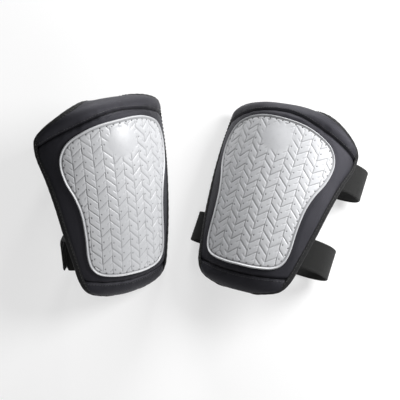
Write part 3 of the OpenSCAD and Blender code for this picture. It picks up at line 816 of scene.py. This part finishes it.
def ribbon(line, at, middle, seed):
    """Webbing along a line: rounded edges, raised borders and a rounded tip."""
    way = np.gradient(line, axis=0)
    way /= np.linalg.norm(way, axis=1, keepdims=True)
    up = np.stack([-way[:, 1], way[:, 0]], -1)
    half = STRAP_W/2
    s = np.r_[-1, -0.99, -0.965, -0.93, -0.89, np.linspace(-0.85, 0.85, 27), 0.89, 0.93, 0.965,
        0.99, 1]
    left = np.clip(TIP_CORNER - (at[-1] - at), 0, TIP_CORNER)
    wide = half - TIP_CORNER + np.sqrt(np.maximum(TIP_CORNER**2 - left**2, 0.5))
    y = s[None]*wide[:, None]
    edge = half*(1 - abs(s))
    body = np.sqrt(np.clip(1 - (1 - np.minimum(edge, 1.0))**2, 0.12, 1))[None]
    tip = np.sqrt(np.clip(1 - (1 - np.minimum(at[-1] - at, 1.0))**2, 0.12, 1))[:, None]
    border = 0.16*np.exp(-((edge - 2.2)/0.9)**2)[None] - 0.10*np.exp(-((edge - 4)/0.7)**2)[None]
    rib = 0.05*np.sin(at*2*math.pi/3.9)[:, None]
    t = (STRAP_T/2 - 0.16 + border + rib)*body*tip
    wave = 0.10*ripple(at[:, None], y, 33, seed)
    grids = []
    for sign in (1, -1):
        off = sign*t + wave
        x = line[:, 0, None] + up[:, 0, None]*off
        z = line[:, 1, None] + up[:, 1, None]*off
        grids.append(np.stack([x, middle + y, z], -1))
    flat = np.stack(np.broadcast_arrays(at[:, None], y, 0.0), -1).reshape(-1, 3)
    points, faces = slab(grids[0], grids[1])
    return points, [f[::-1] for f in faces], np.vstack([flat, flat])


def straps(side):
    """Each strap with its peel-open end, drawn turned at the hinge, and the tab it closes on."""
    for which, middle in ALONG_LEG[side].items():
        body, end = f"{side}_pad", f"{side}_{which}_strap_end"
        line, at = strap_line(side, which, "strap")
        points, faces, flat = ribbon(line, at, middle, 1.0 + middle)
        made = piece(f"{side}_{which}_webbing", place(side, points, False), faces, WEBBING, None,
            [f"{side}_{which}_strap", end], flat)
        hinge = ROUTES[f"{side}_{which}_strap"][-1]
        way = math.radians(END_WAY[side][0])
        step = np.array([math.cos(way), 0, math.sin(way)])*2.6
        at_hinge = np.array([hinge[0], middle, hinge[1]], float)
        start, stop = (place(side, p, False)*MM for p in (at_hinge - step, at_hinge + step))
        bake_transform(made)
        line, at = strap_line(side, which, "tab")
        points, faces, flat = ribbon(line, at, middle, 2.0 + middle)
        piece(f"{side}_{which}_fastening_tab", place(side, points, False), faces, WEBBING, body,
            [f"{side}_{which}_tab"], flat)
        patch(side, which, "hook", end, STRAP_T/2 - 0.05)
        patch(side, which, "loop", body, STRAP_T/2 + PATCH_T + FASTEN_GAP)


def end_frame(side, which, points):
    """From a closed end's own axes, X from the hinge to the tip and Y along the leg."""
    way = END_WAY[side][0]
    x, z = ROUTES[f"{side}_{which}_strap"][-1]
    return place(side, points @ turn("y", -way).T + (x, ALONG_LEG[side][which], z), False)


def patch(side, which, kind, body, low):
    """Hook or loop patch: rounded corners, a plain border, and pile on the face that fastens.
    low is where it starts, out from the middle of the strap end."""
    length, width, corner = PATCH_LEN, PATCH_W, PATCH_CORNER
    face = (1 if kind == "hook" else -1)*END_WAY[side][1]
    x, y = np.meshgrid(np.linspace(0, length, 61), np.linspace(-width/2, width/2, 121),
        indexing="ij")
    dx = np.maximum(abs(x - length/2) - (length/2 - corner), 0)
    dy = np.maximum(abs(y) - (width/2 - corner), 0)
    far = np.hypot(dx, dy)
    pull = np.where(far > 0, np.minimum(np.maximum(dx, dy)/np.maximum(far, 1e-6), 1), 1)
    x = length/2 + np.sign(x - length/2)*(abs(x - length/2) - dx + dx*pull)
    y = np.sign(y)*(abs(y) - dy + dy*pull)
    rim = np.minimum(np.minimum(x, length - x), width/2 - abs(y))
    inside = ease((rim - 1.6)/0.5)
    if kind == "hook":
        pile = 0.30*inside*(0.5 + 0.5*np.sin(x*2*math.pi/1.25)*np.sin(y*2*math.pi/1.25))
    else:
        pile = 0.28*inside*(0.5 + 0.5*ripple(x, y, 1.3, 4.2))
    level = PATCH_T - 0.35 + pile
    round_edge = np.sqrt(np.clip(1 - (1 - np.minimum(rim, 0.5)/0.5)**2, 0.15, 1))
    level = level*round_edge
    up = END_WAY[side][1]
    if face == up:
        near, away = up*low + 0*level, up*(low + level)
    else:
        near, away = up*(low + PATCH_T) + 0*level, up*(low + PATCH_T - level)
    points, faces = slab(*(np.stack([x + PATCH_START, y, z], -1) for z in (away, near)))
    if face < 0:
        faces = [f[::-1] for f in faces]
    flat = np.stack([x, y, 0*x], -1).reshape(-1, 3)
    piece(f"{side}_{which}_{kind}_patch", end_frame(side, which, points), faces,
        HOOKS if kind == "hook" else LOOPS, body, [f"{side}_{which}_{kind}"],
        np.vstack([flat, flat]))


def tacks(side):
    """Box of stitches with a cross in it, where each strap and tab is sewn to the back."""
    starts, ends, ups = [], [], []
    for which, middle in ALONG_LEG[side].items():
        for kind in ("strap", "tab"):
            route = np.array(ROUTES[f"{side}_{which}_{kind}"], float)
            d = (route[1] - route[0])/np.linalg.norm(route[1] - route[0])
            normal = np.array([-d[1], d[0]])
            box = TACK_BOX
            runs = list(zip(box, box[1:] + box[:1])) + [(box[0], box[2]), (box[1], box[3])]
            for p, q in runs:
                p, q = np.array(p, float), np.array(q, float)
                count = max(int(np.linalg.norm(q - p)/TACK_STEP), 1)
                for k in range(count):
                    pair = [p + (q - p)*(k + s)/count for s in (0.12, 0.88)]
                    for (x, y), keep in zip(pair, (starts, ends)):
                        at = route[0] + d*x - normal*(STRAP_T/2 + 0.08)
                        keep.append((at[0], middle + y, at[1]))
                    ups.append((-normal[0], 0, -normal[1]))
    points, faces = stitches(*(np.array(x, float) for x in (starts, ends, ups)), 0.36, 0.12)
    piece(f"{side}_strap_threads", place(side, points, False), faces, THREAD,
        f"{side}_pad", [f"{side}_strap_tacks"])


# ---- the pair ----

for side, outer in (("right", 1), ("left", -1)):
    cap(side)
    cap_threads(side)
    for part, node in (("front", "foam_core"), ("top", "top_roll"), ("bottom", "bottom_roll")):
        foam(side, part, node)
        cover(side, part)
    lining(side)
    binding(side)
    seam_threads(side)
    straps(side)
    tacks(side)
    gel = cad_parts[f"{side}_gel_insert"]
    gel.data.materials.clear()
    gel.data.materials.append(GEL)

# ---- floor, light and camera ----

floor_mesh = bpy.data.meshes.new("floor")
floor_mesh.from_pydata([(x, y, -0.0004) for x, y in ((-3, -3), (3, -3), (3, 3), (-3, 3))], [],
    [(0, 1, 2, 3)])
floor_mesh.materials.append(floor_finish())
floor = bpy.data.objects.new("floor", floor_mesh)
bpy.context.scene.collection.objects.link(floor)


def soft_light(name, at, to, size, watts, tint=(1, 1, 1)):
    data = bpy.data.lights.new(name, "AREA")
    data.shape, data.size, data.energy, data.color = "DISK", size, watts, tint
    lamp = bpy.data.objects.new(name, data)
    lamp.location = at
    lamp.rotation_euler = (Vector(to) - Vector(at)).to_track_quat("-Z", "Y").to_euler()
    bpy.context.scene.collection.objects.link(lamp)


soft_light("key", (0.1, 1.4, 0.42), (0, 0, 0.03), 0.6, 20)
soft_light("near lamp", (0.58, 0.2, 0.46), (0, 0, 0.03), 0.42, 8.5)
soft_light("fill", (0.1, -0.8, 0.85), (0, 0, 0.03), 0.5, 2.2)

world = bpy.data.worlds.new("studio")
world.use_nodes = True
sky = world.node_tree.nodes["Background"]
sky.inputs["Color"].default_value = (1, 1, 1, 1)
sky.inputs["Strength"].default_value = 0.15
bpy.context.scene.world = world
bpy.context.scene.view_settings.view_transform = "Standard"

ELEVATION, DISTANCE = math.radians(79), 1.3
target = Vector((-0.0083, -0.0049, 0.048))
camera = bpy.data.objects.new("camera", bpy.data.cameras.new("camera"))
camera.data.lens, camera.data.sensor_width = 95.1, 36
camera.location = target + DISTANCE*Vector((0, -math.cos(ELEVATION), math.sin(ELEVATION)))
camera.rotation_euler = (target - camera.location).to_track_quat("-Z", "Y").to_euler()
bpy.context.scene.collection.objects.link(camera)
bpy.context.scene.camera = camera
